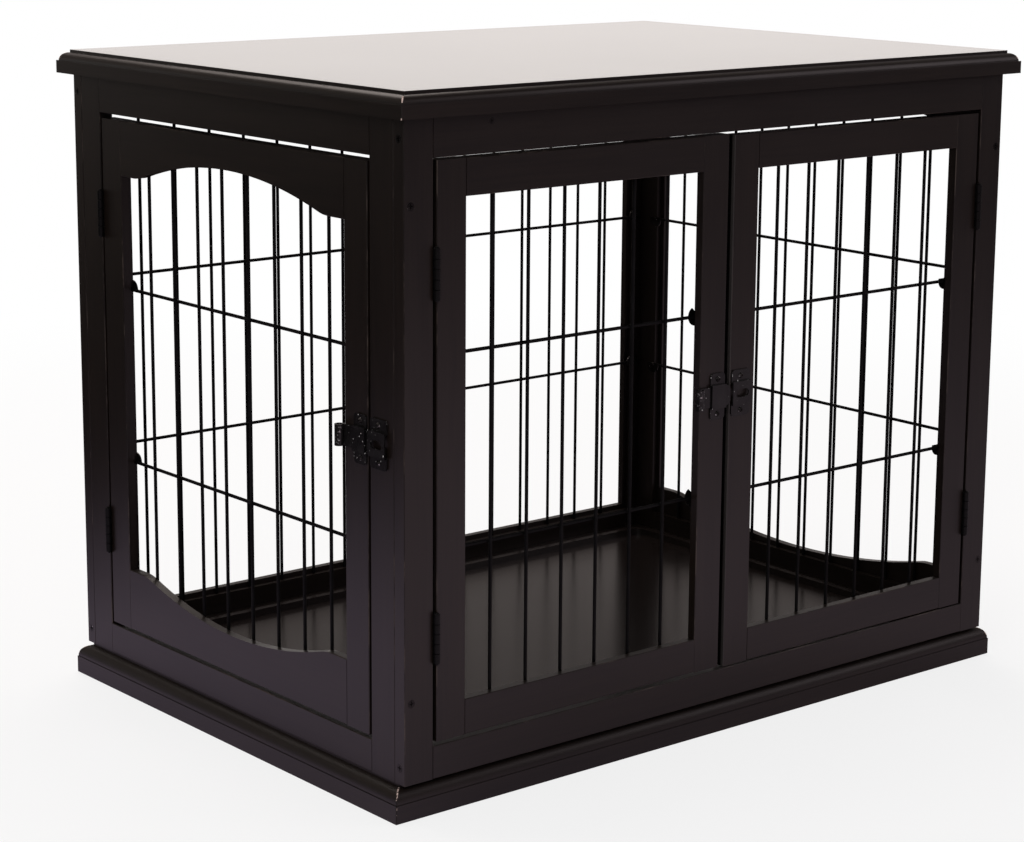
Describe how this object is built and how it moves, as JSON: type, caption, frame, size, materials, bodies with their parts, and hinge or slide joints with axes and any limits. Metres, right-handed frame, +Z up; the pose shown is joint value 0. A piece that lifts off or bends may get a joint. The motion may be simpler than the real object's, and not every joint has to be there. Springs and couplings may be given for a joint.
{
  "type": "wooden dog crate",
  "caption": "Wooden crate table for a dog: moulded top, wire-filled frames, a pair of front doors, an arched side door with slide latches, and a lift-out floor tray.",
  "frame": {"origin": "on the floor, under the middle of the crate's box", "axes": "+Z up, -Y towards the front doors, -X towards the side door"},
  "size_m": [0.8128, 0.5842, 0.6604],
  "materials": {
    "moulded_wood": "satin espresso lacquer on the top's and the base's mouldings",
    "frame_wood": "satin espresso lacquer on frames and doors",
    "tray": "smooth, glossy dark brown",
    "wire": "black powder coat",
    "hardware": "satin black lacquered steel",
    "screw_steel": "blackened screws and clips"
  },
  "bodies": {
    "cabinet": {"top_panel": "moulded_wood", "top_edging_long": "moulded_wood", "top_edging_short": "moulded_wood", "base_moulding_long": "moulded_wood", "base_moulding_short": "moulded_wood", "floor_board": "frame_wood", "floor_tray": "tray", "front_post_left": "frame_wood", "front_post_right": "frame_wood", "front_rail_top": "frame_wood", "front_rail_bottom": "frame_wood", "back_post_left": "frame_wood", "back_post_right": "frame_wood", "back_rail_top": "frame_wood", "back_rail_bottom": "frame_wood", "left_stile_front": "frame_wood", "left_stile_rear": "frame_wood", "left_rail_top": "frame_wood", "left_rail_bottom": "frame_wood", "right_stile_front": "frame_wood", "right_stile_rear": "frame_wood", "right_rail_top": "frame_wood", "right_rail_bottom": "frame_wood", "back_wire_grid": "wire", "right_wire_grid": "wire", "front_left_hinge_frame_leaves": "hardware", "front_right_hinge_frame_leaves": "hardware", "side_hinge_frame_leaves": "hardware", "front_left_hinge_pins": "hardware", "front_right_hinge_pins": "hardware", "side_hinge_pins": "hardware", "side_latch_keeper": "hardware", "cabinet_fasteners": "screw_steel"},
    "front_left_door": {"front_left_door_hinge_stile": "frame_wood", "front_left_door_latch_stile": "frame_wood", "front_left_door_rail_top": "frame_wood", "front_left_door_rail_bottom": "frame_wood", "front_left_door_wire_grid": "wire", "front_left_hinge_door_leaves": "hardware", "front_latch_guide": "hardware", "front_left_door_fasteners": "screw_steel"},
    "front_right_door": {"front_right_door_hinge_stile": "frame_wood", "front_right_door_keeper_stile": "frame_wood", "front_right_door_rail_top": "frame_wood", "front_right_door_rail_bottom": "frame_wood", "front_right_door_wire_grid": "wire", "front_right_hinge_door_leaves": "hardware", "front_latch_keeper": "hardware", "front_right_door_fasteners": "screw_steel"},
    "side_door": {"side_door_hinge_stile": "frame_wood", "side_door_latch_stile": "frame_wood", "side_door_rail_top": "frame_wood", "side_door_rail_bottom": "frame_wood", "side_door_wire_grid": "wire", "side_hinge_door_leaves": "hardware", "side_latch_guide": "hardware", "side_door_fasteners": "screw_steel"},
    "front_latch_bar": {"front_latch_bar": "hardware"},
    "side_latch_bar": {"side_latch_bar": "hardware"}
  },
  "joints": [
    {"name": "front_left_door_hinge", "type": "hinge", "parent": "cabinet", "child": "front_left_door", "pos_m": [-0.36, -0.2816, 0.33215], "axis": [0, 0, -1], "range_deg": [0, 170]},
    {"name": "front_right_door_hinge", "type": "hinge", "parent": "cabinet", "child": "front_right_door", "pos_m": [0.36, -0.2816, 0.33215], "axis": [0, 0, 1], "range_deg": [0, 170]},
    {"name": "side_door_hinge", "type": "hinge", "parent": "cabinet", "child": "side_door", "pos_m": [-0.397, 0.2271, 0.33215], "axis": [0, 0, -1], "range_deg": [0, 170]},
    {"name": "front_latch_slide", "type": "slide", "parent": "front_left_door", "child": "front_latch_bar", "axis": [1, 0, 0], "range_m": [0, 0.012]},
    {"name": "side_latch_slide", "type": "slide", "parent": "side_door", "child": "side_latch_bar", "axis": [0, -1, 0], "range_m": [0, 0.012]}
  ]
}
